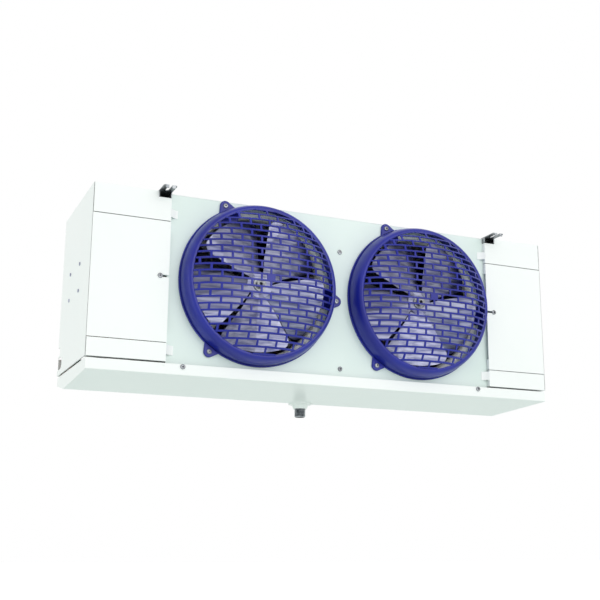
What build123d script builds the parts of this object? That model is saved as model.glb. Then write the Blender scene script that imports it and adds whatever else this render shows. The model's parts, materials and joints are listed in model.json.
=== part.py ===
from build123d import *
import math
import os

# Low-profile walk-in unit cooler with two fans, hung under a cold-room ceiling.
# X runs along the cooler, Y from the fan side (front) to the coil side (rear), Z up, in mm.
# The origin is the middle of the four hanger holes, on top of the hanger rails.

# Casing
section_length = 793.5        # coil and fan section, between the two end compartments
left_end_length = 168.0
right_end_length = 160.0
casing_depth = 304.0
casing_height = 368.0
sheet = 1.2                   # painted aluminium sheet
panel_setback = 10.0          # how far the fan panel lies behind the front strips
upper_strip = 64.5            # height of the end roofs' front strips
lower_strip = 38.8            # height of the base rails
slit = 1.5                    # gap between a cover and the strips
pan_gap = 3.5                 # gap between the casing and the pan
seat_gap = 0.3                # gap between pieces that slip past each other
tab_run = 12.0                # sloping tab from a strip to the fan panel
rail_flange = 18.0            # folded edges along the base rails and the rear rail

# Hanger rails
rail_width = 29.0
rail_wall = 2.0
rail_height = 14.0
finger_reach = 40.0           # fingers in front of and behind the casing
finger_lip = 7.0
hanger_slot = 7.0
hanger_slot_root = 9.0        # from the casing's front to the slot's closed end
hanger_hole_radius = 5.5
hanger_hole_pitch = 200.0     # along Y

# Fans and their guards
fan_pitch = 400.0
fan_middle = 7.0              # middle of the two fans from the middle of the section
fan_drop = 183.5              # fan axis below the roof
blade_count = 5
blade_tip_radius = 150.0
blade_root_radius = 22.0
blade_sweep = 64.0            # angle that one blade covers, in degrees
blade_rake = 12.0             # how far the blade's root is turned back, in degrees
blade_front = 25.0            # blade's front edge ahead of the fan panel
blade_back = 17.0             # blade's back edge behind it
blade_camber = 9.0
blade_sheet = 1.5
blade_corner = 20.0           # rounding of a blade's tip corners
blade_turn = 51.0             # angle of the first blade
spider_radius = 29.0
hub_radius = 11.0
hub_collar_radius = 15.0
hub_length = 19.0
shaft_radius = 4.0
shaft_clearance = 0.05
motor_radius = 44.0
motor_length = 80.0
motor_round = 8.0             # sloped edges of its end bells
motor_boss = 5.0
boss_radius = 12.0
motor_gap = 37.0              # from the fan panel's face back to the motor
strap_width = 18.0
strap_sheet = 2.0
strap_reach = 205.0           # radius of the motor straps' feet
throat_radius = 155.0
bell_radius = 12.0            # rounding of the fan orifice's mouth
orifice_depth = 26.0
orifice_flange_radius = 178.0
guard_radius = 181.0
guard_flange = 5.0
guard_shoulder = 45.0         # height of the guard's solid wall
guard_rise = 37.0             # rise of the grille dome above the wall
guard_wall = 3.5
grille_radius = 163.0
grille_thickness = 3.0
grille_open_radius = 159.0
row_pitch = 13.9
row_bar = 4.0
bar_bends = (-1, -0.85, -0.65, -0.4, 0, 0.4, 0.65, 0.85, 1)   # along a cross bar
bar_step = 0.4                # uprights lie this much below the cross bars' face
brick_pitch = 43.0
brick_bar = 5.0
pad_length = 28.0
pad_height = 17.0
ear_circle = 190.0            # radius to the guard's three screws
ear_radius = 12.0
ear_angles = (115.0, 235.0, 355.0)

# Screws
screw_radius = 2.3
screw_head_radius = 5.5
screw_head = 2.5
screw_length = 10.0
panel_screw_drops = (82.0, 353.4)
cover_screw_drop = 186.5
cover_screw_inset = 19.5      # from a cover's inner edge
clip_window = 7.0             # height of the window behind a cover's open slot
pan_screw_drop = 8.8          # below the casing
pan_screw_left = 360.3
pan_screw_right = 363.3
pan_dimple_radius = 4.0
pan_dimple_depth = 0.8
pan_dimple_place = 405.3      # left of the middle
pan_dimple_drop = 10.4        # below the casing

# Coil
coil_depth = 88.0
coil_front = 58.0
coil_top_gap = 14.0
coil_bottom_gap = 18.0
fin_pitch = 11.3
fin_thickness = 4.0
fin_reach = 12.0
tube_radius = 4.8
tube_pitch = 25.4

# Drain pan
pan_inset = 2.0
pan_lip = 27.2                # casing to the lip's lower edge
pan_valley_depth = 38.0
pan_valley = 76.0             # valley line behind the middle
pan_rear_depth = 23.0
pan_bend = 2.5                # outer radius of the pan's long folds
panel_skirt = 15.0            # fan panel behind the pan's lip
drain_offset = 5.0            # drain from the middle of the section
drain_boss_radius = 28.0
drain_boss = 3.0
collar_top_radius = 19.8
collar_foot_radius = 16.3
collar_height = 9.4
drain_pipe_radius = 13.35
drain_neck_radius = 13.1      # plain neck through the collar, above the thread
drain_bore_radius = 10.5
drain_pipe_length = 20.0
hinge_offset = 4.3            # hinge line behind the casing
hinge_drop = 1.0              # hinge line below the casing
hinge_barrel_radius = 4.0
hinge_pin_radius = 2.0
hinge_spread = 300.0
knuckle_length = 20.0
knuckle_gap = 0.4
leaf_sheet = 1.5
leaf_height = 20.0

# Pipework in the left end
suction_radius = 11.1
liquid_radius = 6.35
suction_rise = 26.0           # pipe lines above the casing's lower edge
liquid_rise = 54.0
pipe_line = 118.0             # suction pipe behind the middle
liquid_line = 137.0
slot_margin = 3.0
rear_leg_rise = 75.0          # cover's rear leg starts above the pipe slots
branch_radius = 6.0
feeder_radius = 2.4
feeder_bend = 10.0
header_inset = 95.0           # header from the left side
liquid_inset = 65.0

# Wiring in the right end
box_depth = 42.0
box_width = 90.0
box_height = 100.0
box_drop = 60.0

# Rivets on the end covers
rivet_radius = 4.0
rivet_head = 1.5
rivet_lines = (-46.0, 55.6)
rivet_rises = (156.5, 216.0)

# Levels and planes worked out from the sizes above
inner = section_length / 2
roof = -rail_wall
seam = roof - casing_height
front = -casing_depth / 2
rear = casing_depth / 2
rail_bottom = -rail_height
panel_front = front + panel_setback
panel_back = panel_front + sheet
strip_foot = roof - upper_strip
base_top = seam + lower_strip
fan_z = roof - fan_drop
fan_x = {"left": fan_middle - fan_pitch / 2, "right": fan_middle + fan_pitch / 2}
side_sign = {"left": -1, "right": 1}
end_length = {"left": left_end_length, "right": right_end_length}
coil_back = coil_front + coil_depth
hinge_y = rear + hinge_offset
hinge_z = seam - hinge_drop


def block(x0, x1, y0, y1, z0, z1):
    """A box between two corners."""
    middle = Pos((x0 + x1) / 2, (y0 + y1) / 2, (z0 + z1) / 2)
    return middle * Box(abs(x1 - x0), abs(y1 - y0), abs(z1 - z0))


def rod(start, end, radius):
    """A round bar from one point to another."""
    run = Vector(*end) - Vector(*start)
    place = Plane(origin=start, z_dir=run)
    return place * Cylinder(radius, run.length, align=(Align.CENTER, Align.CENTER, Align.MIN))


def pipe(points, bend, radius):
    """A round pipe along straight runs with one bend radius."""
    path = FilletPolyline(*points, radius=bend)
    start = Plane(origin=path @ 0, z_dir=path % 0)
    return sweep(start * Circle(radius), path=path)


def thin_tube(points, radius):
    """A thin tube with eight sides and mitred corners, for the small copper pipes."""
    path = Polyline(*points)
    start = Plane(origin=path @ 0, z_dir=path % 0)
    return sweep(start * RegularPolygon(radius, 8), path=path, transition=Transition.RIGHT)


def turned(outline):
    """A ring or disc turned about the local Z axis from a closed (radius, height) outline."""
    return revolve(Plane.XZ * make_face(Polyline(*outline, close=True)), Axis.Z)


def facing(x, y, z):
    """A place whose local Z points to the front, out of the fan panel."""
    return Plane(origin=(x, y, z), x_dir=(1, 0, 0), z_dir=(0, -1, 0))


def stud(radius, low, high):
    """A small round shank or head with twelve sides, between two heights."""
    return Pos(0, 0, low) * extrude(RegularPolygon(radius, 12), amount=high - low)


def screw(length):
    """A pan-head screw, with its seat at the local origin and its head on +Z."""
    return stud(screw_radius, -length, 0) + stud(screw_head_radius, 0, screw_head)


def pipe_slots(x0, x1, end):
    """Cutters for the two pipe slots in the left end, from the pipes back to a rear edge."""
    cutters = []
    for line, rise, radius in (
        (pipe_line, suction_rise, suction_radius), (liquid_line, liquid_rise, liquid_radius)
    ):
        half = radius + slot_margin
        z = seam + rise
        cutters.append(rod((x0, line, z), (x1, line, z), half) + block(x0, x1, line, end, z - half, z + half))
    return cutters


def guard_screw_places():
    places = []
    for x in fan_x.values():
        for angle in ear_angles:
            turn = math.radians(angle)
            places.append((x + ear_circle * math.cos(turn), fan_z + ear_circle * math.sin(turn)))
    return places


def panel_screw_places():
    return [(fan_middle, roof - drop) for drop in panel_screw_drops]


def cover_screw_places():
    return [(sign * (inner + cover_screw_inset), roof - cover_screw_drop) for sign in (-1, 1)]


def pan_screw_places():
    return [(x, seam - pan_screw_drop) for x in (-pan_screw_left, pan_screw_right)]


def clip_windows(y0, y1):
    """Cutters for the windows in the panel and the tube sheets, behind the covers' open slots."""
    windows = []
    for x, z in cover_screw_places():
        near = math.copysign(inner + 2 * sheet, x)
        far = x - math.copysign(screw_head_radius, x)
        windows.append(block(near, far, y0, y1, z - clip_window / 2, z + clip_window / 2))
    return windows


def outer_of(side):
    return side_sign[side] * (inner + end_length[side])


def skin_of(side):
    """Inside face of the room that an end cover's side sheet leaves."""
    return outer_of(side) - side_sign[side] * (sheet + seat_gap)


# Casing ---------------------------------------------------------------------------------------

def roof_panel():
    """Roof sheet of the middle section, with folded edges along the rails and the rear."""
    top = block(-inner, inner, panel_front, rear, roof - sheet, roof)
    for sign in (-1, 1):
        top += block(sign * inner, sign * (inner - sheet), panel_back, rear, rail_bottom, roof)
    return top + block(-inner, inner, rear - sheet, rear, roof - 2 * rail_flange, roof)


def fan_panel():
    """Front sheet that carries both fans and reaches behind the strips at its ends."""
    main = inner - sheet - seat_gap
    top = roof - sheet
    foot = seam - panel_skirt
    panel = block(-main, main, panel_front, panel_back, foot, top)
    margin = inner + rail_width
    panel += block(-margin, margin, panel_front, panel_back, seam + sheet, rail_bottom - slit)
    panel += block(-main, main, panel_back, panel_back + rail_flange, top - sheet, top)
    mouth = throat_radius + bell_radius
    for x in fan_x.values():
        panel -= rod((x, panel_front - 1, fan_z), (x, panel_back + 1, fan_z), mouth)
    for x, z in [*guard_screw_places(), *panel_screw_places(), *cover_screw_places()]:
        panel -= rod((x, front, z), (x, panel_back + 1, z), screw_radius + seat_gap)
    for window in clip_windows(panel_front - 1, panel_back + 1):
        panel -= window
    return panel


def orifice(side):
    """Pressed ring that leads the air into the fan, behind the panel."""
    mouth = throat_radius + bell_radius
    deep = bell_radius - sheet
    corner = math.sqrt(0.5)
    ring = turned([
        (orifice_flange_radius, 0), (mouth, 0),
        (mouth - bell_radius * corner, bell_radius * (1 - corner)), (throat_radius, bell_radius),
        (throat_radius, orifice_depth), (throat_radius + sheet, orifice_depth), (throat_radius + sheet, bell_radius),
        (mouth - deep * corner, bell_radius - deep * corner), (mouth, sheet), (orifice_flange_radius, sheet)
    ])
    turned_round = Plane(origin=(fan_x[side], panel_back, fan_z), x_dir=(1, 0, 0), z_dir=(0, 1, 0))
    return turned_round * ring


def strip(side, y0, y1, z0, z1):
    """Part of an end piece's skin from the cover's side sheet to the middle section."""
    return block(skin_of(side), side_sign[side] * inner, y0, y1, z0, z1)


def tab(side, z0, z1):
    """Sloping tab from a strip's inner end to the fan panel."""
    edge = side_sign[side] * inner
    step = -side_sign[side] * tab_run
    seat = panel_front - sheet
    outline = Polyline(
        (edge, front), (edge + step, seat), (edge + 1.4 * step, seat),
        (edge + 1.4 * step, panel_front), (edge + 0.9 * step, panel_front), (edge, front + sheet), close=True
    )
    return Pos(0, 0, z0) * extrude(make_face(outline), amount=z1 - z0)


def end_roof(side):
    """Roof sheet of an end compartment, with its front and rear strips, notched for the rail."""
    sign = side_sign[side]
    rail_out = sign * (inner + rail_width)
    notch = rail_bottom - slit
    piece = block(skin_of(side), rail_out, front, rear, roof - sheet, roof)
    piece += block(rail_out, rail_out + sign * sheet, front, rear, rail_bottom, roof)
    for y0, y1 in ((front, front + sheet), (rear - sheet, rear)):
        piece += strip(side, y0, y1, strip_foot, roof)
        piece -= block(sign * (inner - 1), rail_out, y0 - 1, y1 + 1, notch, roof + 1)
    piece += block(sign * inner, sign * (inner + sheet), front, panel_front, strip_foot, notch)
    return piece + tab(side, strip_foot + 9.5, strip_foot + 27.5)


def base_rail(side):
    """Lower frame of an end compartment: front strip, side run and rear strip on a folded edge."""
    sign = side_sign[side]
    skin = skin_of(side)
    piece = strip(side, front, front + sheet, seam, base_top)
    piece += strip(side, rear - sheet, rear, seam, base_top)
    piece += block(skin, skin - sign * sheet, front, rear, seam, base_top)
    piece += strip(side, front, front + rail_flange, seam, seam + sheet)
    piece += strip(side, rear - rail_flange, rear, seam, seam + sheet)
    if side == "left":
        for slot in pipe_slots(skin - 1, skin + sheet + 1, rear - sheet):
            piece -= slot
    piece += block(sign * inner, sign * (inner + sheet), front, panel_front, seam, base_top)
    return piece + tab(side, seam + 15, seam + 35)


def end_cover(side):
    """Sliding end cover: side sheet, front leg between the strips and a rear leg above the pipes."""
    sign = side_sign[side]
    outer = outer_of(side)
    edge = sign * inner
    foot = base_top + slit
    head = strip_foot - slit
    cover = block(outer, outer - sign * sheet, front, rear, seam, roof)
    cover = fillet(cover.edges().filter_by(Axis.X), 1.0)
    cover += block(outer, edge, front, front + sheet, foot, head)
    cover += block(outer, edge, rear - sheet, rear, seam + rear_leg_rise, head)
    for z0, z1 in ((foot, foot + 25), (head - 25, head)):
        cover += block(edge, edge + sign * sheet, front, panel_front - 1, z0, z1)
    if side == "left":
        for slot in pipe_slots(outer - 1, outer + sheet + 1, rear + 1):
            cover -= slot
    x = sign * (inner + cover_screw_inset)
    z = roof - cover_screw_drop
    half = screw_radius + seat_gap
    cover -= rod((x, front - 1, z), (x, front + sheet + 1, z), half)
    cover -= block(x, edge - sign, front - 1, front + sheet + 1, z - half, z + half)
    for place in rivet_places(side):
        cover -= place * Cylinder(rivet_radius / 2 + seat_gap, 4 * sheet)
    return cover


def rivet_places(side):
    """Places on an end cover's outer face, with local Z pointing out of it."""
    sign = side_sign[side]
    return [
        Plane(origin=(outer_of(side), y, seam + rise), z_dir=(sign, 0, 0))
        for y in rivet_lines for rise in rivet_rises
    ]


def cover_rivets(side):
    """Domed rivets that fix the stiffener inside an end cover."""
    rivet = stud(rivet_radius / 2, -sheet, 0) + stud(rivet_radius, 0, rivet_head)
    rivet += stud(0.8 * rivet_radius, -2 * sheet, -sheet)
    return Compound(children=[place * rivet for place in rivet_places(side)])


def hanger_rail(side):
    """Galvanised channel over the casing, with two open-ended hanger slots and two rod holes."""
    sign = side_sign[side]
    x0 = sign * inner
    x1 = sign * (inner + rail_width)
    middle = (x0 + x1) / 2
    reach = rear + finger_reach
    rail = block(x0, x1, -reach, reach, roof, 0)
    rail = fillet(rail.edges().filter_by(Axis.Z), 4.0)
    for edge, step in ((x0, sign * rail_wall), (x1, -sign * rail_wall)):
        rail += block(edge, edge + step, front, rear, rail_bottom, roof)
    for end in (-1, 1):
        tip = end * reach
        rail += block(x0 + sign * 4, x1 - sign * 4, tip, tip - end * rail_wall, -finger_lip, 0)
        root = end * (rear + hanger_slot_root)
        rail -= block(middle - hanger_slot / 2, middle + hanger_slot / 2, root, tip + end, -finger_lip - 1, 1)
        rail -= rod((middle, root, -finger_lip), (middle, root, 1), hanger_slot / 2)
        hole = end * hanger_hole_pitch / 2
        rail -= rod((middle, hole, roof - 1), (middle, hole, 1), hanger_hole_radius)
    return rail


def end_plate(side):
    """Tube sheet at each end of the coil, which stands on the base rail and carries the hanger rail."""
    sign = side_sign[side]
    face = sign * inner
    plate = block(face, face + sign * sheet, panel_back, rear - sheet, seam + sheet, rail_bottom)
    far = sign * (inner + rail_width)
    plate += block(face, far, panel_back, rear - sheet, rail_bottom - sheet, rail_bottom)
    plate += block(face, far, panel_back, panel_back + sheet, base_top, rail_bottom)
    for x, z in cover_screw_places():
        plate -= rod((x, panel_back - 1, z), (x, panel_back + 2 * sheet, z), screw_radius + seat_gap)
    for window in clip_windows(panel_back - 1, panel_back + 2 * sheet):
        plate -= window
    return plate


def rear_rail():
    """Angle across the lower rear, which carries the pan's hinges."""
    rail = block(-inner, inner, rear - sheet, rear, seam, base_top)
    return rail + block(-inner, inner, rear - rail_flange, rear, seam, seam + sheet)


def coil_core():
    """Fin and tube block, with the fins' edges standing out of both faces."""
    count = int((2 * inner - 2 * fin_thickness) // fin_pitch)
    start = -count * fin_pitch / 2
    outline = [(-inner, coil_front), (-inner, coil_back)]
    for face, step, order in ((coil_back, -fin_reach, range(count)), (coil_front, fin_reach, range(count)[::-1])):
        for index in order:
            low = start + index * fin_pitch + fin_thickness / 2
            high = low + fin_pitch - fin_thickness
            near, far = (low, high) if step < 0 else (high, low)
            outline += [(near, face), (near, face + step), (far, face + step), (far, face)]
        if step < 0:
            outline += [(inner, coil_back), (inner, coil_front)]
    foot = seam + coil_bottom_gap
    core = extrude(make_face(Polyline(*outline, close=True)), amount=roof - coil_top_gap - foot)
    return Pos(0, 0, foot) * core


def return_bends(side):
    """Copper U-bends that join the coil's tubes outside the tube sheet."""
    sign = side_sign[side]
    x = sign * (inner + sheet)
    first = seam + coil_bottom_gap + (tube_pitch if side == "left" else 2 * tube_pitch)
    half = tube_pitch / 2
    crown = 0.7 * half
    bend = thin_tube([
        (half, 0), (half, 0.35 * half), (crown, crown), (0, half), (-crown, crown), (-half, 0.35 * half), (-half, 0)
    ], tube_radius)
    bends = []
    for row in (0.5, 1.5):
        for step in range(3):
            z = first + (4 * step + 2 * row - 1) * tube_pitch
            place = Plane(origin=(x, coil_front + row * tube_pitch, z), x_dir=(0, 0, sign), z_dir=(0, 1, 0))
            bends.append(place * bend)
    return Compound(children=bends)


def suction_header():
    """Vertical header in the left end, with branches from the coil and its stub to the pipe slot."""
    x = -inner - left_end_length + header_inset
    foot = seam + suction_rise
    head = roof - 4 * rail_flange
    stub_end = outer_of("left") + sheet + 5
    header = pipe(
        [(x, pipe_line, head), (x, pipe_line, foot), (stub_end, pipe_line, foot)], 30, suction_radius
    )
    for step in range(4):
        z = head - 20 - step * 2 * tube_pitch
        header += thin_tube([(-inner - sheet, pipe_line, z), (x, pipe_line, z)], branch_radius)
    return header


def distributor():
    """Liquid line with the distributor cone and its four feeder tubes to the coil."""
    x = -inner - left_end_length + liquid_inset
    foot = seam + liquid_rise
    cone = foot + 90
    stub_end = outer_of("left") + sheet + 5
    line = pipe([(stub_end, liquid_line, foot), (x, liquid_line, foot), (x, liquid_line, cone)], 20, liquid_radius)
    line += Pos(x, liquid_line, cone + 12) * Cone(liquid_radius, 2 * liquid_radius, 24)
    for dx, dy, rise in ((-5, -2.5, 90), (5, -2.5, 75), (-5, 3.5, 60), (5, 3.5, 45)):
        top = cone + 24 + rise
        line += thin_tube([
            (x + dx, liquid_line + dy, cone + 23), (x + dx, liquid_line + dy, top - feeder_bend),
            (x + dx + feeder_bend, liquid_line + dy, top), (-inner - sheet, liquid_line + dy, top)
        ], feeder_radius)
    return line


def fan_divider():
    """Sheet between the two fans, from the panel back to the coil."""
    foot = seam + sheet
    head = roof - 2 * sheet
    web = fan_middle + rail_flange / 2
    divider = block(web, web + sheet, panel_back, coil_front, foot, head)
    divider += block(fan_middle - rail_flange / 2, web, panel_back, panel_back + sheet, foot, head)
    for x, z in panel_screw_places():
        divider -= rod((x, panel_back - 1, z), (x, panel_back + 2 * sheet, z), screw_radius + seat_gap)
    return divider


# Fans -----------------------------------------------------------------------------------------

def motor(side):
    """Shaded-pole fan motor: round shell with end bells and a front boss, bored for its shaft."""
    nose = -motor_gap
    tail = nose - motor_length
    bore = shaft_radius + shaft_clearance
    floor = nose + motor_boss - 0.8 * motor_length
    rim = motor_radius - motor_round
    shell = turned([
        (bore, nose + motor_boss), (boss_radius, nose + motor_boss), (boss_radius, nose), (rim, nose),
        (motor_radius, nose - motor_round), (motor_radius, tail + motor_round), (rim, tail), (0, tail),
        (0, floor), (bore, floor)
    ])
    return facing(fan_x[side], panel_front, fan_z) * shell


def motor_bracket(side):
    """Band round the motor with four folded straps to the back of the fan panel."""
    band = -motor_gap - motor_length / 2
    bracket = turned([
        (motor_radius + seat_gap, band - 12), (motor_radius + seat_gap + strap_sheet, band - 12),
        (motor_radius + seat_gap + strap_sheet, band + 12), (motor_radius + seat_gap, band + 12)
    ])
    half = strap_width / 2
    foot = -sheet
    for turn in (45, 135, 225, 315):
        strap = block(motor_radius + 1, strap_reach, -half, half, band, band + strap_sheet)
        strap += block(strap_reach - strap_sheet, strap_reach, -half, half, band, foot)
        strap += block(strap_reach, strap_reach + strap_width, -half, half, foot - strap_sheet, foot)
        strap += block(strap_reach - strap_sheet, strap_reach, -half, half, foot - strap_sheet, foot)
        bracket += Rot(0, 0, turn) * strap
    bracket -= Pos(0, 0, band) * Cylinder(motor_radius + seat_gap, 2 * motor_length)
    return facing(fan_x[side], panel_front, fan_z) * bracket


def motor_shaft(side):
    """Fan shaft, from inside the motor to the hub."""
    tail = motor_boss - motor_gap - 0.8 * motor_length + 2
    head = spider_level()
    shaft = Pos(0, 0, (tail + head) / 2) * Cylinder(shaft_radius, head - tail)
    return facing(fan_x[side], panel_front, fan_z) * shaft


def spider_level():
    """Height of the spider's face ahead of the fan panel."""
    return (blade_front - blade_back) / 2 + blade_camber


def fan_hub(side):
    """Turned hub, whose collar seats on the spider."""
    seat = spider_level()
    bore = shaft_radius + shaft_clearance
    hub = turned([
        (bore, seat - hub_length), (hub_radius, seat - hub_length), (hub_radius, seat), (hub_collar_radius, seat),
        (hub_collar_radius, seat + 3), (hub_radius - 2, seat + 3), (hub_radius - 2, seat + 9), (bore, seat + 9)
    ])
    return facing(fan_x[side], panel_front, fan_z) * hub


def blade_plan():
    """Outline of one blade seen from the front: raked sides, wide rounded tip corners."""
    sides = []
    for half in (-blade_sweep / 2, blade_sweep / 2):
        places = []
        for radius, turn in ((blade_root_radius, half - blade_rake), (60, half), (blade_tip_radius, half)):
            turn = math.radians(turn)
            places.append((radius * math.cos(turn), radius * math.sin(turn)))
        sides.append(places)
    low, high = sides
    plan = make_face([
        Polyline(*low), ThreePointArc(low[-1], (blade_tip_radius, 0), high[-1]), Polyline(*high[::-1]),
        Line(high[0], low[0])
    ])
    tips = [v for v in plan.vertices() if abs(math.hypot(v.X, v.Y) - blade_tip_radius) < 0.1]
    return fillet(tips, blade_corner)


def fan_blades(side):
    """Pressed aluminium fan: five cambered blades on one flat spider."""
    half = blade_tip_radius * math.sin(math.radians(blade_sweep / 2)) + 8
    middle = (blade_front - blade_back) / 2
    rise = (blade_front + blade_back) / 2
    face = [(-half, middle - rise), (-half / 2, middle - rise / 2 + 0.75 * blade_camber), (0, middle + blade_camber),
            (half / 2, middle + rise / 2 + 0.75 * blade_camber), (half, middle + rise)]
    section = make_face(Polyline(*face, *[(x, z - blade_sheet) for x, z in face[::-1]], close=True))
    pressed = Plane.YZ * extrude(section, amount=blade_tip_radius + 1)
    reach = blade_front + blade_back
    blade = pressed & (Pos(0, 0, -reach) * extrude(blade_plan(), amount=2 * reach))
    level = spider_level()
    fan = Pos(0, 0, level - blade_sheet / 2) * Cylinder(spider_radius, blade_sheet)
    for index in range(blade_count):
        fan += Rot(0, 0, blade_turn + index * 360 / blade_count) * blade
    fan -= Pos(0, 0, level) * Cylinder(hub_radius + seat_gap, 2 * reach)
    fan -= Pos(0, 0, level + reach) * Cylinder(hub_collar_radius + seat_gap, 2 * reach)
    return facing(fan_x[side], panel_front, fan_z) * fan


def dome_height(x, y):
    """Height of the guard's domed grille above the fan panel."""
    return guard_shoulder + guard_rise * (1 - (math.hypot(x, y) / grille_radius) ** 4)


def grille_bars():
    """Cross bars of the grille, each bent along the dome, one above the other."""
    bars = []
    seat = (grille_radius + grille_open_radius) / 2
    count = int(grille_open_radius / row_pitch)
    for index in range(-count, count):
        y = (index + 0.5) * row_pitch
        half = math.sqrt(seat ** 2 - y ** 2)
        face = [(share * half, dome_height(share * half, y)) for share in bar_bends]
        outline = face + [(x, z - grille_thickness) for x, z in face[::-1]]
        bar = extrude(Plane.XZ * make_face(Polyline(*outline, close=True)), amount=row_bar)
        bars.append(Pos(0, y + row_bar / 2, 0) * bar)
    return bars


def grille_uprights():
    """Short uprights between the cross bars, staggered from row to row like bricks."""
    uprights = []
    seat = (grille_radius + grille_open_radius) / 2
    rows = int(grille_open_radius / row_pitch)
    columns = int(grille_open_radius / brick_pitch) + 1
    for row in range(-rows, rows + 1):
        shift = 0 if row % 2 else brick_pitch / 2
        for column in range(-columns, columns + 1):
            x = column * brick_pitch + shift
            if abs(x) > grille_open_radius - brick_bar:
                continue
            edge = math.sqrt(seat ** 2 - x ** 2)
            low = max((row - 0.5) * row_pitch, -edge)
            high = min((row + 0.5) * row_pitch, edge)
            if high - low < row_pitch / 2:
                continue
            top = [(y, dome_height(x, y) - bar_step) for y in (low, high)]
            outline = top + [(y, z - grille_thickness + 2 * bar_step) for y, z in top[::-1]]
            upright = extrude(Plane.YZ * make_face(Polyline(*outline, close=True)), amount=brick_bar)
            uprights.append(Pos(x - brick_bar / 2, 0, 0) * upright)
    return uprights


def guard_shell():
    """Moulded guard: flange with three ears, solid curved wall and a domed brick-pattern grille."""
    foot = guard_radius - guard_wall
    lip = dome_height(grille_open_radius, 0)
    shoulder = (grille_radius, guard_shoulder)
    shell = turned([
        (grille_open_radius, lip - grille_thickness), (grille_open_radius, lip), shoulder,
        (guard_radius - 5, 0.6 * guard_shoulder), (guard_radius, guard_flange), (guard_radius, 0), (foot, 0),
        (foot - 5.5, 0.5 * guard_shoulder), (grille_radius - 3, guard_shoulder - grille_thickness)
    ])
    crown = dome_height(0, 0)
    pad = block(-pad_length / 2, pad_length / 2, -pad_height / 2, pad_height / 2, crown - grille_thickness, crown + 0.6)
    shell += [*grille_bars(), *grille_uprights(), pad]
    for angle in ear_angles:
        ear = Pos(ear_circle, 0, 0) * Cylinder(ear_radius, guard_flange, align=(Align.CENTER, Align.CENTER, Align.MIN))
        ear += block(foot + 1, ear_circle, -ear_radius, ear_radius, 0, guard_flange)
        ear -= Pos(ear_circle, 0, 0) * Cylinder(screw_radius + seat_gap, 4 * guard_flange)
        shell += Rot(0, 0, angle) * ear
    return shell


# Screws ---------------------------------------------------------------------------------------

def guard_screws():
    seat = panel_front - guard_flange
    length = guard_flange + sheet
    return Compound(children=[facing(x, seat, z) * screw(length) for x, z in guard_screw_places()])


def panel_screws():
    return Compound(children=[facing(x, panel_front, z) * screw(screw_length) for x, z in panel_screw_places()])


def cover_screws():
    return Compound(children=[facing(x, front, z) * screw(screw_length + 4) for x, z in cover_screw_places()])


def pan_screws():
    length = panel_setback - 1
    return Compound(children=[facing(x, front, z) * screw(length) for x, z in pan_screw_places()])


# Drain pan ------------------------------------------------------------------------------------

def pan_outline(wall):
    """Outline of the pan in (y, z), inside its walls by the given amount."""
    top = seam - pan_gap
    return [
        (front + wall, top), (front + wall, seam - pan_lip + wall), (pan_valley, seam - pan_valley_depth + wall),
        (rear - wall, seam - pan_rear_depth + wall), (rear - wall, top)
    ]


def pan_ends():
    return -inner - left_end_length + pan_inset, inner + right_end_length - pan_inset


def trough(wall, top=0.0):
    """Solid of the pan's outer or inner shape."""
    x0, x1 = pan_ends()
    outline = pan_outline(wall)
    outline = [(y, z + top) if z > seam - 2 * pan_gap else (y, z) for y, z in outline]
    face = Plane.YZ * make_face(Polyline(*outline, close=True))
    return Pos(x0 + wall, 0, 0) * extrude(face, amount=x1 - x0 - 2 * wall)


def open_pan():
    """Whole pan, which falls to a valley with the drain and is open to the coil above."""
    pan = trough(0)
    low_edges = [e for e in pan.edges().filter_by(Axis.X) if e.center().Z < seam - pan_rear_depth + 1]
    pan = fillet(low_edges, pan_bend)
    pan -= trough(sheet, pan_gap)
    pan -= rod((drain_offset, pan_valley, seam), (drain_offset, pan_valley, seam - 60), collar_foot_radius)
    for x, z in pan_screw_places():
        pan -= rod((x, front - 1, z), (x, front + 2 * sheet, z), screw_radius + seat_gap)
    z = seam - pan_dimple_drop
    return pan - rod((-pan_dimple_place, front - 1, z), (-pan_dimple_place, front + pan_dimple_depth, z), pan_dimple_radius)


def pan_cutters():
    """Blocks that divide the pan into its floor, its two long walls and its two ends."""
    x0, x1 = pan_ends()
    top = seam - pan_gap
    fold = pan_bend + sheet
    low = seam - pan_valley_depth
    return {
        "front": block(x0 + sheet, x1 - sheet, front, front + sheet, seam - pan_lip + fold, top),
        "rear": block(x0 + sheet, x1 - sheet, rear - sheet, rear, seam - pan_rear_depth + fold, top),
        "left": block(x0, x0 + sheet, front, rear, low, top),
        "right": block(x1 - sheet, x1, front, rear, low, top),
    }


def drain_pan():
    """Folded floor of the pan, up to its long walls, with the hole for the drain."""
    floor = open_pan()
    for cutter in pan_cutters().values():
        floor -= cutter
    return floor


def pan_wall(place):
    """One of the pan's four walls, seamed to its floor."""
    return open_pan() & pan_cutters()[place]


def drain_collar():
    """Drain boss under the valley, with the collar that takes the pipe stub."""
    low = seam - pan_valley_depth
    foot = low - drain_boss
    boss = turned([
        (drain_pipe_radius + seat_gap, low + 6), (drain_boss_radius, low + 6), (drain_boss_radius, foot + 1),
        (drain_boss_radius - 6, foot), (collar_top_radius, foot), (collar_foot_radius, foot - collar_height),
        (drain_pipe_radius + seat_gap, foot - collar_height)
    ])
    return (Pos(drain_offset, pan_valley, 0) * boss) - trough(0)


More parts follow.
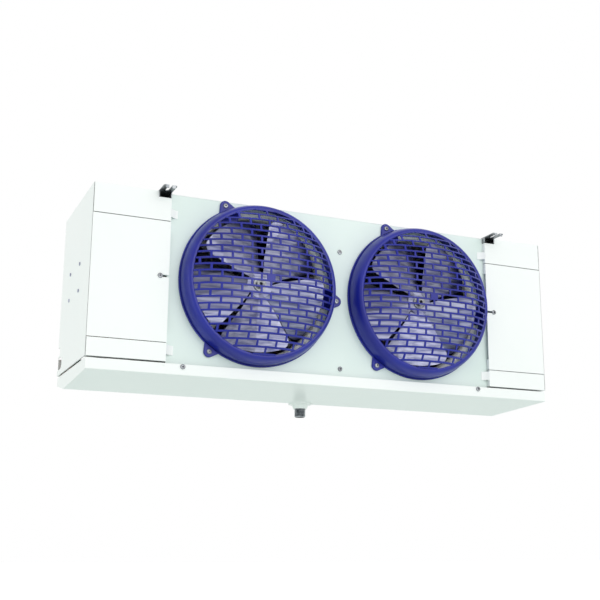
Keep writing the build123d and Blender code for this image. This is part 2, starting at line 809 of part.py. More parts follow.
def drain_fitting():
    """Threaded drain stub, with its flange inside the pan."""
    low = seam - pan_valley_depth
    shoulder = low - drain_boss - collar_height
    foot = shoulder - drain_pipe_length
    stub = turned([
        (drain_bore_radius, low + 7), (drain_neck_radius, low + 7), (drain_neck_radius, shoulder),
        (drain_pipe_radius, shoulder), (drain_pipe_radius, foot + 2), (drain_pipe_radius - 1.5, foot),
        (drain_bore_radius, foot)
    ])
    flange = turned([(drain_bore_radius, low), (22, low), (22, low + 7), (drain_bore_radius, low + 7)])
    place = Pos(drain_offset, pan_valley, 0)
    return place * stub + ((place * flange) & trough(sheet, pan_gap))


def hinge_lines():
    """Places of the knuckles along X, as (x0, x1, whether the pan carries it)."""
    places = []
    for x in (-hinge_spread, hinge_spread):
        for index in (-1, 0, 1):
            start = x + index * (knuckle_length + knuckle_gap) - knuckle_length / 2
            places.append((start, start + knuckle_length, index == 0))
    return places


def hinge_leaves(on_pan):
    """Knuckles and leaves of both hinges, on the casing or on the pan."""
    parts = []
    step = 1.7
    for x0, x1, moving in hinge_lines():
        if moving != on_pan:
            continue
        knuckle = rod((x0, hinge_y, hinge_z), (x1, hinge_y, hinge_z), hinge_barrel_radius)
        near = hinge_z - step if moving else hinge_z + step
        far = near - leaf_height if moving else near + leaf_height
        knuckle += block(x0, x1, rear, rear + leaf_sheet, near, far)
        knuckle -= rod((x0 - 1, hinge_y, hinge_z), (x1 + 1, hinge_y, hinge_z), hinge_pin_radius + shaft_clearance)
        parts.append(knuckle)
    return Compound(children=parts)


def hinge_pins():
    """Pins through both hinges, with a head at each end."""
    half = 1.5 * knuckle_length + knuckle_gap
    pins = []
    for x in (-hinge_spread, hinge_spread):
        pin = rod((x - half - 2, hinge_y, hinge_z), (x + half + 2, hinge_y, hinge_z), hinge_pin_radius)
        for end in (-1, 1):
            seat = x + end * half
            pin += rod((seat, hinge_y, hinge_z), (seat + end * 2, hinge_y, hinge_z), hinge_barrel_radius - 0.8)
        pins.append(pin)
    return Compound(children=pins)


# Wiring ---------------------------------------------------------------------------------------

def junction_box():
    """Open wiring tray on the right tube sheet."""
    x0 = inner + sheet
    y0 = panel_back + 3 * rail_flange / 2
    z0 = roof - box_drop - box_height
    tray = block(x0, x0 + box_depth, y0, y0 + box_width, z0, z0 + box_height)
    tray -= block(x0 + sheet, x0 + box_depth + 1, y0 + sheet, y0 + box_width - sheet, z0 + sheet, z0 + box_height - sheet)
    return tray


def terminal_block():
    """Row of six screw terminals on the tray's floor."""
    x0 = inner + 2 * sheet
    y0 = panel_back + 3 * rail_flange / 2 + 12
    z0 = roof - box_drop - box_height / 2
    strip_part = block(x0, x0 + 14, y0, y0 + 66, z0 - 12, z0 + 12)
    for index in range(6):
        y = y0 + 5.5 + 11 * index
        strip_part -= block(x0 + 8, x0 + 15, y - 4, y + 4, z0 - 9, z0 + 9)
        strip_part += block(x0 + 7, x0 + 12, y - 3, y + 3, z0 - 3, z0 + 3)
    return strip_part


pieces = {
    "roof_panel": roof_panel(),
    "fan_panel": fan_panel(),
    "rear_rail": rear_rail(),
    "coil_core": coil_core(),
    "suction_header": suction_header(),
    "distributor": distributor(),
    "fan_divider": fan_divider(),
    "guard_screws": guard_screws(),
    "panel_screws": panel_screws(),
    "cover_screws": cover_screws(),
    "pan_screws": pan_screws(),
    "drain_pan": drain_pan(),
    "pan_front": pan_wall("front"),
    "pan_rear": pan_wall("rear"),
    "pan_end_left": pan_wall("left"),
    "pan_end_right": pan_wall("right"),
    "drain_collar": drain_collar(),
    "drain_fitting": drain_fitting(),
    "pan_hinge_fixed": hinge_leaves(False),
    "pan_hinge_moving": hinge_leaves(True),
    "pan_hinge_pins": hinge_pins(),
    "junction_box": junction_box(),
    "terminal_block": terminal_block(),
}
by_side = {
    "end_roof": end_roof, "base_rail": base_rail, "end_cover": end_cover, "cover_rivets": cover_rivets,
    "hanger_rail": hanger_rail, "end_plate": end_plate, "return_bends": return_bends, "orifice": orifice,
    "motor": motor, "motor_bracket": motor_bracket, "motor_shaft": motor_shaft, "fan_hub": fan_hub,
    "fan_blades": fan_blades,
}
one_guard = guard_shell()
for side in ("left", "right"):
    pieces[f"guard_{side}"] = facing(fan_x[side], panel_front, fan_z) * one_guard
    for name, make in by_side.items():
        pieces[f"{name}_{side}"] = make(side)

os.makedirs("parts", exist_ok=True)
for name, piece in pieces.items():
    export_step(piece, f"parts/{name}.step")
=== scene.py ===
import json
import math

import bmesh
import bpy
from mathutils import Matrix, Vector


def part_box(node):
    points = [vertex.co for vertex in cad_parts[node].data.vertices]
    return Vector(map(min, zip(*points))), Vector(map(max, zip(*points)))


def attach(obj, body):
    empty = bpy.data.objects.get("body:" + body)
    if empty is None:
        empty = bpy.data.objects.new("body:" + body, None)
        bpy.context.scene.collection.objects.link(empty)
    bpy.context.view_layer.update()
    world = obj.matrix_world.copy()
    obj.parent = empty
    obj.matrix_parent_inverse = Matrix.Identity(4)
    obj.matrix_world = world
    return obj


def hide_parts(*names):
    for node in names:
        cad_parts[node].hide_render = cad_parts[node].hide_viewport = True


# Two-fan walk-in unit cooler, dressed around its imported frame.
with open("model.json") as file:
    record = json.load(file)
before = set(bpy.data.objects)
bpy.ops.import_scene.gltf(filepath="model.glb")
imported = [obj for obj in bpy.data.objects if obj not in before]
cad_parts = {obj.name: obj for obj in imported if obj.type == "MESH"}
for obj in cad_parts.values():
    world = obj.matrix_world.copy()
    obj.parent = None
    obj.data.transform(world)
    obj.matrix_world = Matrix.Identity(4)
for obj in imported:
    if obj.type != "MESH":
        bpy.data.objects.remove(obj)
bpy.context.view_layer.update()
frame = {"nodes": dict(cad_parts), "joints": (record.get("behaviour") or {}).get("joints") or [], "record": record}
nodes = frame["nodes"]
body_of_node = {node: body for body, held in frame["record"]["behaviour"]["bodies"].items() for node in held}
MM = 0.001


# Casing sheets --------------------------------------------------------------------------------
# Roof, end roofs, base rails, end covers and fan panel, folded from 1.2 mm aluminium sheet and
# stove-enamelled white. The enamel rounds every fold and edge a little.
FOLD_RADIUS = 0.9 * MM
EDGE_RADIUS = 0.15 * MM
WIDE = 6.0 * MM              # only faces wider than this meet at a rounded fold
FLAT_ANGLE = 8               # a fold this sharp stays crisp, degrees
WELD = 1e-6                  # corners closer than this are one, metres
ENAMEL_WHITE = "#FCFDFC"
ENAMEL_SHADE = "#F9FBFA"
# The fan panel's two tones are set darker than the other sheets: painted shade for the shade that the guards throw
# on the panel.
PANEL_PAINTED_SHADE_LIGHT = "#E9F4F0"
PANEL_PAINTED_SHADE_DARK = "#E1EEE9"
ENAMEL_WAVE = 240.0          # wavelength of the coat's slow colour change, mm
ENAMEL_PEEL = 1.6            # wavelength of the sprayed coat's orange peel, mm
CASING_NODES = [
    "roof_panel", "fan_panel", "rear_rail", "fan_divider", "end_roof_left", "end_roof_right",
    "base_rail_left", "base_rail_right", "end_cover_left", "end_cover_right",
]


def linear(hex_colour):
    """The linear colour of an sRGB hex value."""
    shares = [int(hex_colour[place:place + 2], 16) / 255 for place in (1, 3, 5)]
    return (*[s / 12.92 if s <= 0.04045 else ((s + 0.055) / 1.055) ** 2.4 for s in shares], 1.0)


def add(tree, kind, settings=(), links=()):
    """A node with its settings and the sockets that feed it."""
    node = tree.nodes.new(kind)
    for name, value in dict(settings).items():
        if isinstance(name, int) or name in node.inputs:
            node.inputs[name].default_value = value
        else:
            setattr(node, name, value)
    for name, source in dict(links).items():
        tree.links.new(source, node.inputs[name])
    return node


def new_material(name, settings):
    """A material, its tree, its shader and its Object coordinates."""
    material = bpy.data.materials.new(name)
    material.use_nodes = True
    tree = material.node_tree
    shader = tree.nodes["Principled BSDF"]
    for socket, value in settings.items():
        shader.inputs[socket].default_value = value
    place = add(tree, "ShaderNodeTexCoord").outputs["Object"]
    return material, tree, shader, place


def two_tones(tree, fac, dark, light):
    """A colour ramp between two hex colours."""
    ramp = add(tree, "ShaderNodeValToRGB", links={"Fac": fac})
    ramp.color_ramp.elements[0].position = 0.35
    ramp.color_ramp.elements[1].position = 0.65
    ramp.color_ramp.elements[0].color = linear(dark)
    ramp.color_ramp.elements[1].color = linear(light)
    return ramp.outputs["Color"]


def spread(tree, fac, low, high):
    """A value that runs from low to high as fac runs from 0 to 1."""
    return add(tree, "ShaderNodeMapRange", {"To Min": low, "To Max": high}, {"Value": fac}).outputs["Result"]


def bump(tree, height, depth, strength=1.0):
    """A bump whose depth is in millimetres."""
    settings = {"Distance": depth * MM, "Strength": strength}
    return add(tree, "ShaderNodeBump", settings, {"Height": height}).outputs["Normal"]


def noise(tree, place, wavelength, detail=2.0, stretch=(1, 1, 1)):
    """Noise whose wavelength is in millimetres, stretched along an axis by a share under 1."""
    mapped = add(tree, "ShaderNodeMapping", {"Scale": stretch}, {"Vector": place}).outputs["Vector"]
    settings = {"Scale": 1 / (wavelength * MM), "Detail": detail}
    return add(tree, "ShaderNodeTexNoise", settings, {"Vector": mapped}).outputs["Fac"]


# Stove enamel, sprayed and baked: glossy but not wet, a soft reflection, faint orange peel.
def stove_enamel(name, shade, white):
    settings = {"IOR": 1.45, "Coat Weight": 0.1, "Coat Roughness": 0.12}
    material, tree, shader, place = new_material(name, settings)
    slow = noise(tree, place, ENAMEL_WAVE, 3.0)
    tree.links.new(two_tones(tree, slow, shade, white), shader.inputs["Base Color"])
    tree.links.new(spread(tree, noise(tree, place, 60.0), 0.30, 0.40), shader.inputs["Roughness"])
    tree.links.new(bump(tree, noise(tree, place, ENAMEL_PEEL), 0.012), shader.inputs["Normal"])
    return material


def to_object(name, mesh, material, sharp_angle=35):
    """An object from a bmesh, smooth except at its sharp edges."""
    data = bpy.data.meshes.new(name)
    mesh.to_mesh(data)
    mesh.free()
    data.polygons.foreach_set("use_smooth", [True] * len(data.polygons))
    data.set_sharp_from_angle(angle=math.radians(sharp_angle))
    data.materials.append(material)
    piece = bpy.data.objects.new(name, data)
    bpy.context.scene.collection.objects.link(piece)
    return piece


def paint(names, material):
    """The same material on each of the named CAD nodes."""
    for name in names:
        nodes[name].data.materials.clear()
        nodes[name].data.materials.append(material)


def rounded_copy(node, material):
    """A merged copy of a CAD node, with rounded folds and softened sheet edges, that replaces it."""
    mesh = bmesh.new()
    mesh.from_mesh(nodes[node].data)
    bmesh.ops.remove_doubles(mesh, verts=mesh.verts, dist=WELD)
    bmesh.ops.dissolve_limit(mesh, angle_limit=math.radians(1), verts=mesh.verts, edges=mesh.edges)
    convex = [e for e in mesh.edges if len(e.link_faces) == 2 and e.is_convex]
    folds = [
        e for e in convex
        if e.calc_face_angle(0) > math.radians(40) and e.calc_length() > WIDE
        and min(f.calc_area() for f in e.link_faces) > WIDE * e.calc_length()
    ]
    bmesh.ops.bevel(
        mesh, geom=folds, offset=FOLD_RADIUS, segments=3, profile=0.5, affect="EDGES", material=-1
    )
    sharp = [
        e for e in mesh.edges
        if len(e.link_faces) == 2 and e.is_convex and e.calc_face_angle(0) > math.radians(60)
    ]
    bmesh.ops.bevel(
        mesh, geom=sharp, offset=EDGE_RADIUS, segments=1, profile=0.5, affect="EDGES", material=-1,
        clamp_overlap=True
    )
    piece = to_object(node + "_sheet", mesh, material, FLAT_ANGLE)
    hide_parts(node)
    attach(piece, body_of_node[node])


enamel = stove_enamel("white_stove_enamel", ENAMEL_SHADE, ENAMEL_WHITE)
# The fan panel gets its own darker enamel, as painted shade from the guards in front of it.
panel_enamel_painted_shade = stove_enamel("panel_stove_enamel_painted_shade", PANEL_PAINTED_SHADE_DARK, PANEL_PAINTED_SHADE_LIGHT)
for node in CASING_NODES:
    rounded_copy(node, panel_enamel_painted_shade if node == "fan_panel" else enamel)


# Hanger rails and tube sheets -----------------------------------------------------------------
# Channels over the roof with open-ended slots for the hanger rods, and the sheets at the coil's
# ends. Both are bare galvanised steel, so the zinc's crystals show as a faint patchwork.
ZINC_LIGHT = "#A4A7AA"
ZINC_DARK = "#7F8387"
SPANGLE = 9.0                # zinc crystal size, mm
GALVANISED_NODES = [
    "hanger_rail_left", "hanger_rail_right", "end_plate_left", "end_plate_right", "motor_bracket_left",
    "motor_bracket_right", "junction_box",
]


# Hot-dip zinc: a dull metal whose crystals reflect a little differently from each other.
def galvanised():
    material, tree, shader, place = new_material("galvanised_steel", {"Metallic": 1.0})
    cells = add(tree, "ShaderNodeTexVoronoi", {"Scale": 1 / (SPANGLE * MM)}, {"Vector": place})
    tone = add(tree, "ShaderNodeRGBToBW", links={"Color": cells.outputs["Color"]}).outputs["Val"]
    tree.links.new(two_tones(tree, tone, ZINC_DARK, ZINC_LIGHT), shader.inputs["Base Color"])
    tree.links.new(spread(tree, tone, 0.32, 0.48), shader.inputs["Roughness"])
    tree.links.new(bump(tree, noise(tree, place, 3.0), 0.02), shader.inputs["Normal"])
    return material


zinc = galvanised()
paint(GALVANISED_NODES, zinc)


# Fan guards -----------------------------------------------------------------------------------
# One moulded plastic piece for each fan: a flange with three screw ears, a solid curved wall and
# a domed grille of long bars with short uprights set like brickwork, round a plain centre pad.
GUARD_BLUE = "#1E2899"
GUARD_DEEP = "#181F88"
GUARD_GRAIN = 0.8            # moulded grain, mm
GUARD_RADIUS = 181.0 * MM
FLANGE = 5.0 * MM
WALL_FOOT = 178.0 * MM
WALL_FOOT_HEIGHT = 7.0 * MM
WALL_HEAD = 164.5 * MM
SHOULDER = 45.0 * MM
WALL = 3.5 * MM
GRILLE_RADIUS = 163.0 * MM
DOME_RISE = 37.0 * MM
ROW_PITCH = 13.9 * MM
BRICK_PITCH = 43.0 * MM
ROW_BAR = 4.0 * MM
UPRIGHT = 4.6 * MM
BAR_DEPTH = 3.4 * MM
PAD = (19.0 * MM, 17.0 * MM, 3.4 * MM)
EAR_CIRCLE = 190.0 * MM
EAR_RADIUS = 12.0 * MM
EAR_ROOT = 22.0 * MM          # from the screw in to the middle of the ear's root
EAR_ROOT_RADIUS = 22.8 * MM
EAR_ANGLES = (115.0, 235.0, 355.0)
RING_STEPS = 144
BAR_ROUND = 0.7 * MM
EAR_ROUND = 1.4 * MM


# Glossy blue plastic straight from a polished mould: a clear highlight and almost no grain.
def guard_plastic():
    settings = {"IOR": 1.42}
    material, tree, shader, place = new_material("blue_moulded_plastic", settings)
    clouds = noise(tree, place, 90.0)
    tree.links.new(two_tones(tree, clouds, GUARD_DEEP, GUARD_BLUE), shader.inputs["Base Color"])
    tree.links.new(spread(tree, noise(tree, place, 25.0), 0.26, 0.36), shader.inputs["Roughness"])
    tree.links.new(bump(tree, noise(tree, place, GUARD_GRAIN), 0.01), shader.inputs["Normal"])
    return material


def dome(radius):
    """Height of the grille's face above the fan panel."""
    return SHOULDER + DOME_RISE * (1 - min(1.0, radius / GRILLE_RADIUS) ** 4)


def spun(mesh, outline, steps):
    """Turns an outline of (radius, height) points round the local Z axis."""
    verts = [mesh.verts.new((radius, 0, height)) for radius, height in outline]
    edges = [mesh.edges.new(pair) for pair in zip(verts, verts[1:])]
    geom = verts + edges
    bmesh.ops.spin(
        mesh, geom=geom, cent=(0, 0, 0), axis=(0, 0, 1), angle=math.tau, steps=steps, use_merge=True
    )


def guard_ring(mesh):
    """Flange, groove and curved wall, as a closed ring."""
    outer = []
    for step in range(11):
        turn = math.radians(9 * step)
        outer.append((
            WALL_HEAD + (WALL_FOOT - WALL_HEAD) * math.cos(turn),
            WALL_FOOT_HEIGHT + (SHOULDER - WALL_FOOT_HEIGHT) * math.sin(turn),
        ))
    inner = [(radius - WALL, height - WALL / 4) for radius, height in outer[::-1]]
    flange = [
        (GUARD_RADIUS - 2 * WALL, 0), (GUARD_RADIUS, 0), (GUARD_RADIUS, FLANGE - 1 * MM),
        (GUARD_RADIUS - 1 * MM, FLANGE), (GUARD_RADIUS - 2.2 * MM, FLANGE),
        (GUARD_RADIUS - 3 * MM, FLANGE - 1 * MM),
    ]
    outline = flange + outer + inner
    spun(mesh, outline + outline[:1], RING_STEPS)


def grille_bar(mesh, x0, x1, y0, y1, depth, cuts):
    """One straight bar of the grille, cut along its length so that it can follow the dome."""
    size = Matrix.Diagonal((x1 - x0, y1 - y0, depth, 1))
    place = Matrix.Translation(((x0 + x1) / 2, (y0 + y1) / 2, -depth / 2))
    made = bmesh.ops.create_cube(mesh, size=1, matrix=place @ size)["verts"]
    along = [
        e for e in {e for v in made for e in v.link_edges}
        if abs(e.verts[0].co.x - e.verts[1].co.x) > (x1 - x0) / 2
    ]
    bmesh.ops.subdivide_edges(mesh, edges=along, cuts=cuts, use_grid_fill=False)


def guard_grille(mesh):
    """Long bars, uprights between them and the centre pad, all lifted onto the dome."""
    rows = int(GRILLE_RADIUS / ROW_PITCH) + 1
    reach = GRILLE_RADIUS - 1 * MM
    for row in range(-rows, rows):
        y = (row + 0.5) * ROW_PITCH
        if abs(y) < reach:
            half = math.sqrt(reach * reach - y * y)
            grille_bar(mesh, -half, half, y - ROW_BAR / 2, y + ROW_BAR / 2, BAR_DEPTH, 15)
    for row in range(-rows, rows + 1):
        y = row * ROW_PITCH
        shift = 0.0 if row % 2 else BRICK_PITCH / 2
        for column in range(-5, 6):
            x = column * BRICK_PITCH + shift
            if math.hypot(x, abs(y) + ROW_PITCH / 2) < reach and not (row == 0 and abs(x) < PAD[0] / 2):
                top = (ROW_PITCH - ROW_BAR) / 2 + 1 * MM
                grille_bar(mesh, x - UPRIGHT / 2, x + UPRIGHT / 2, y - top, y + top, BAR_DEPTH * 0.9, 0)
    grille_bar(mesh, -PAD[0] / 2, PAD[0] / 2, -PAD[1] / 2, PAD[1] / 2, PAD[2], 3)
    for vert in mesh.verts:
        vert.co.z += dome(math.hypot(vert.co.x, vert.co.y))


def guard_ear(mesh, angle):
    """A rounded screw ear that runs tangent into the flange."""
    start = set(mesh.verts)
    for height in (0, FLANGE):
        for centre, radius in ((EAR_CIRCLE, EAR_RADIUS), (EAR_CIRCLE - EAR_ROOT, EAR_ROOT_RADIUS)):
            place = Matrix.Translation((centre, 0, height))
            bmesh.ops.create_circle(mesh, segments=40, radius=radius, matrix=place)
    rim = [v for v in mesh.verts if v not in start]
    hull = bmesh.ops.convex_hull(mesh, input=rim)
    unused = {v for v in hull["geom_interior"] + hull["geom_unused"] if isinstance(v, bmesh.types.BMVert)}
    bmesh.ops.delete(mesh, geom=list(unused), context="VERTS")
    made = [v for v in mesh.verts if v not in start]
    loose = {e for v in made for e in v.link_edges if not e.link_faces}
    bmesh.ops.delete(mesh, geom=list(loose), context="EDGES")
    made = [v for v in mesh.verts if v not in start]
    turned = Matrix.Rotation(math.radians(angle), 3, "Z")
    bmesh.ops.rotate(mesh, verts=made, cent=(0, 0, 0), matrix=turned)
    flat = {e for v in made for e in v.link_edges}
    bmesh.ops.dissolve_limit(mesh, angle_limit=math.radians(1), verts=made, edges=list(flat))


blue = guard_plastic()
for joint in frame["joints"]:
    if not joint["name"].startswith("fan_"):
        continue
    side = joint["name"].split("_")[1]
    out_of_panel = Matrix.Translation(Vector(joint["pos_m"])) @ Matrix.Rotation(math.radians(90), 4, "X")
    for part, shape in (("ring", guard_ring), ("grille", guard_grille), ("ears", None)):
        mesh = bmesh.new()
        if shape:
            shape(mesh)
        else:
            for angle in EAR_ANGLES:
                guard_ear(mesh, angle)
        bmesh.ops.remove_doubles(mesh, verts=mesh.verts, dist=WELD)
        bmesh.ops.recalc_face_normals(mesh, faces=mesh.faces)
        bmesh.ops.transform(mesh, matrix=out_of_panel, verts=mesh.verts)
        piece = to_object(f"guard_{side}_{part}", mesh, blue)
        if part != "ring":
            rounding = piece.modifiers.new("moulded_edges", "BEVEL")
            rounding.width = BAR_ROUND if part == "grille" else EAR_ROUND
            rounding.segments = 2
            rounding.limit_method = "ANGLE"
            rounding.angle_limit = math.radians(50)
        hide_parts(f"guard_{side}")
        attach(piece, "root")


# Fans -----------------------------------------------------------------------------------------
# Pressed aluminium fans with five cambered blades, on a turned steel hub and shaft. The blades keep the mill's
# bright rolled finish, with fine lines along the sheet; their colour is painted darker and lavender, as painted
# shade behind the guards and a painted reflection of the guards' blue.
# Both blade tones are painted: darkened for the shade behind the guard, and tinted lavender as a painted
# reflection of the blue guard.
MILL_LIGHT_PAINTED_REFLECTION_AND_SHADE = "#A6A8BE"
MILL_DARK_PAINTED_REFLECTION_AND_SHADE = "#686B8C"
ROLL_LINE = 1.2              # spacing of the rolling lines, mm


# Mill-finish aluminium: a bright metal, streaked the way that it was rolled. The streaks are the metal's own,
# while both tones carry a painted blue reflection and painted shade.
def mill_aluminium():
    material, tree, shader, place = new_material("mill_aluminium", {"Metallic": 1.0})
    streaks = noise(tree, place, ROLL_LINE * 6, 3.0, (0.04, 1, 1))
    tree.links.new(two_tones(tree, streaks, MILL_DARK_PAINTED_REFLECTION_AND_SHADE, MILL_LIGHT_PAINTED_REFLECTION_AND_SHADE), shader.inputs["Base Color"])
    tree.links.new(spread(tree, streaks, 0.24, 0.38), shader.inputs["Roughness"])
    lines = noise(tree, place, ROLL_LINE, 1.0, (0.05, 1, 1))
    tree.links.new(bump(tree, lines, 0.01), shader.inputs["Normal"])
    return material


aluminium = mill_aluminium()
paint(("fan_blades_left", "fan_blades_right", "cover_rivets_left", "cover_rivets_right"), aluminium)


# Screws and their places ----------------------------------------------------------------------
# Pan-head screws of zinc-plated steel with a cross recess, through the guards' ears, the fan panel,
# the end covers' slots and the pan's front lip.
PLATE_LIGHT = "#A3A5A9"
PLATE_DARK = "#75777C"
# The recess floor's zinc is painted near-black: painted shade for the inside of the cross recess.
RECESS_PAINTED_SHADE_LIGHT = "#3A3C3F"
RECESS_PAINTED_SHADE_DARK = "#232427"
HEAD_RADIUS = 5.5 * MM
HEAD_HEIGHT = 2.5 * MM
HEAD_RIM = 0.9 * MM           # straight edge below the dome
FIRST_TURN, NEXT_TURN = 23, 37   # no two recesses point the same way, degrees
RECESS_REACH = 2.6 * MM
RECESS_HALF = 0.65 * MM
RECESS_DEPTH = 1.5 * MM


# Bright zinc plate over steel: a clean metal with cloudy patches.
def zinc_plate(name, dark, light):
    material, tree, shader, place = new_material(name, {"Metallic": 1.0})
    clouds = noise(tree, place, 7.0)
    tree.links.new(two_tones(tree, clouds, dark, light), shader.inputs["Base Color"])
    tree.links.new(spread(tree, clouds, 0.25, 0.38), shader.inputs["Roughness"])
    return material


def screw_head(mesh, place):
    """A domed head on its seat, with the cross recess sunk into its top."""
    start = set(mesh.verts)
    outline = [(HEAD_RADIUS - 0.5 * MM, 0), (HEAD_RADIUS, 0.4 * MM), (HEAD_RADIUS, HEAD_RIM)]
    for step in range(1, 5):
        turn = math.radians(15 * step)
        height = HEAD_RIM + (HEAD_HEIGHT - HEAD_RIM) * math.sin(turn * 1.5)
        outline.append((HEAD_RADIUS * math.cos(turn * 0.9), height))
    spun(mesh, outline, 24)
    made = [v for v in mesh.verts if v not in start]
    top = [
        e for v in made for e in v.link_edges
        if e.is_boundary and all(w.co.z > HEAD_HEIGHT / 2 for w in e.verts)
    ]
    corner = [(RECESS_REACH, -RECESS_HALF), (RECESS_REACH, RECESS_HALF), (RECESS_HALF, RECESS_HALF)]
    cross = []
    for quarter in range(4):
        turn = Matrix.Rotation(math.radians(90 * quarter), 2)
        cross += [turn @ Vector(place_2d) for place_2d in corner]
    verts = [mesh.verts.new((x, y, HEAD_HEIGHT)) for x, y in cross]
    ring = [mesh.edges.new((verts[i], verts[(i + 1) % 12])) for i in range(12)]
    bmesh.ops.bridge_loops(mesh, edges=list(set(top)) + ring)
    sunk = bmesh.ops.extrude_edge_only(mesh, edges=ring)["geom"]
    low = [v for v in sunk if isinstance(v, bmesh.types.BMVert)]
    bmesh.ops.translate(mesh, verts=low, vec=(0, 0, -RECESS_DEPTH))
    floor_face = bmesh.ops.contextual_create(mesh, geom=low)["faces"]
    made = {f for v in mesh.verts if v not in start for f in v.link_faces}
    bmesh.ops.recalc_face_normals(mesh, faces=list(made))
    # The recess floor takes the second material, painted dark as the recess's shade.
    for face in floor_face:
        face.material_index = 1
    made = [v for v in mesh.verts if v not in start]
    bmesh.ops.transform(mesh, matrix=place, verts=made)


plate = zinc_plate("bright_zinc_plate", PLATE_DARK, PLATE_LIGHT)
# Second material of every screw head: painted shade on the floor of the cross recess.
plate_painted_recess_shade = zinc_plate("zinc_plate_painted_recess_shade", RECESS_PAINTED_SHADE_DARK, RECESS_PAINTED_SHADE_LIGHT)
SCREW_NODES = ["guard_screws", "panel_screws", "cover_screws", "pan_screws"]
for node in SCREW_NODES:
    merged = bmesh.new()
    merged.from_mesh(nodes[node].data)
    bmesh.ops.remove_doubles(merged, verts=merged.verts, dist=WELD)
    islands = []
    left = set(merged.verts)
    while left:
        reached, waiting = set(), [left.pop()]
        while waiting:
            vert = waiting.pop()
            reached.add(vert)
            waiting += [e.other_vert(vert) for e in vert.link_edges if e.other_vert(vert) not in reached]
        left -= reached
        islands.append([v.co.copy() for v in reached])
    mesh = bmesh.new()
    for number, corners in enumerate(islands):
        x = (min(c.x for c in corners) + max(c.x for c in corners)) / 2
        z = (min(c.z for c in corners) + max(c.z for c in corners)) / 2
        face_y = min(c.y for c in corners)
        seat = Matrix.Translation((x, face_y + HEAD_HEIGHT, z)) @ Matrix.Rotation(math.radians(90), 4, "X")
        screw_head(mesh, seat @ Matrix.Rotation(math.radians(FIRST_TURN + NEXT_TURN * number), 4, "Z"))
    merged.free()
    piece = to_object(node + "_heads", mesh, plate)
    piece.data.materials.append(plate_painted_recess_shade)
    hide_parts(node)
    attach(piece, body_of_node[node])


# Shafts, hubs, hinge pins and drain stub -------------------------------------------------------
# Turned and plated steel: the fans' hubs and shafts, the pan's hinge pins, and the threaded drain
# stub, whose thread is rolled below a plain neck.
THREAD_PITCH = 1.8 * MM
THREAD_DEPTH = 1.0 * MM
THREAD_STEPS = 48
THREAD_LENGTH = 17.0 * MM
THREAD_START = 2.0 * MM       # above the stub's foot
STUB_RADIUS = 13.35 * MM
STUB_BORE = 10.5 * MM
NECK_CUT = 0.3 * MM           # the neck is this much under the thread's crest
TURNED_NODES = ["pan_hinge_pins", "motor_shaft_left", "motor_shaft_right", "fan_hub_left", "fan_hub_right"]
paint(TURNED_NODES, plate)

low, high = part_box("drain_fitting")
axis = Vector(((low.x + high.x) / 2, (low.y + high.y) / 2, 0))
root = STUB_RADIUS - THREAD_DEPTH
neck = STUB_RADIUS - NECK_CUT
flange = (high.x - low.x) / 2
outline = [(STUB_BORE, low.z), (STUB_RADIUS - 1.5 * MM, low.z), (root, low.z + 1.2 * MM)]
height = low.z + THREAD_START
while height < low.z + THREAD_START + THREAD_LENGTH:
    outline += [(STUB_RADIUS, height), (root, height + THREAD_PITCH / 2)]
    height += THREAD_PITCH
outline += [
    (neck, height), (neck, high.z - 8 * MM), (flange, high.z - 6 * MM), (flange, high.z - 1 * MM),
    (flange - 1 * MM, high.z), (STUB_BORE, high.z)
]
mesh = bmesh.new()
spun(mesh, outline + outline[:1], THREAD_STEPS)
bmesh.ops.remove_doubles(mesh, verts=mesh.verts, dist=WELD)
bmesh.ops.recalc_face_normals(mesh, faces=mesh.faces)
bmesh.ops.translate(mesh, verts=mesh.verts, vec=axis)
piece = to_object("drain_stub_threaded", mesh, plate, 25)
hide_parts("drain_fitting")
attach(piece, "pan")


# Drain pan, fan orifices and hinge leaves -----------------------------------------------------
# The pan's folded floor, its walls and its drain boss, the pressed rings behind the fan panel and
# the pan's hinges, all enamelled like the casing.
ENAMELLED_NODES = [
    "drain_pan", "pan_front", "pan_rear", "pan_end_left", "pan_end_right", "drain_collar", "orifice_left",
    "orifice_right", "pan_hinge_fixed", "pan_hinge_moving",
]
paint(ENAMELLED_NODES, enamel)


# Fan motors -----------------------------------------------------------------------------------
# Small totally enclosed motors in black enamel, held in a band behind each fan.
MOTOR_BLACK = "#1B1C20"
MOTOR_GREY = "#2A2B30"


# Black air-dried enamel on a rolled steel shell: semi-gloss, with a little dust.
def motor_enamel():
    material, tree, shader, place = new_material("black_motor_enamel", {})
    clouds = noise(tree, place, 30.0)
    tree.links.new(two_tones(tree, clouds, MOTOR_BLACK, MOTOR_GREY), shader.inputs["Base Color"])
    tree.links.new(spread(tree, noise(tree, place, 12.0), 0.35, 0.5), shader.inputs["Roughness"])
    tree.links.new(bump(tree, noise(tree, place, 2.0), 0.02), shader.inputs["Normal"])
    return material


black = motor_enamel()
paint(("motor_left", "motor_right"), black)


# Coil -----------------------------------------------------------------------------------------
# A block of thin aluminium fins pressed onto rows of copper tube between the two tube sheets.
FIN_PITCH = 4.2 * MM
FIN = 0.4 * MM               # the real 0.15 mm fin is drawn thicker, so that it shows
TUBE_RADIUS = 4.8 * MM
TUBE_PITCH = 25.4 * MM
FIN_LIGHT = "#C9CCD2"
FIN_DARK = "#A9ADB6"
COPPER_LIGHT = "#C98563"
COPPER_DARK = "#8E5A40"


# Fin stock: thin soft aluminium, rolled bright and then dulled by its pressing oil.
def fin_stock():
    material, tree, shader, place = new_material("aluminium_fin_stock", {"Metallic": 1.0})
    patch = noise(tree, place, 45.0, 4.0)
    tree.links.new(two_tones(tree, patch, FIN_DARK, FIN_LIGHT), shader.inputs["Base Color"])
    tree.links.new(spread(tree, patch, 0.32, 0.5), shader.inputs["Roughness"])
    return material


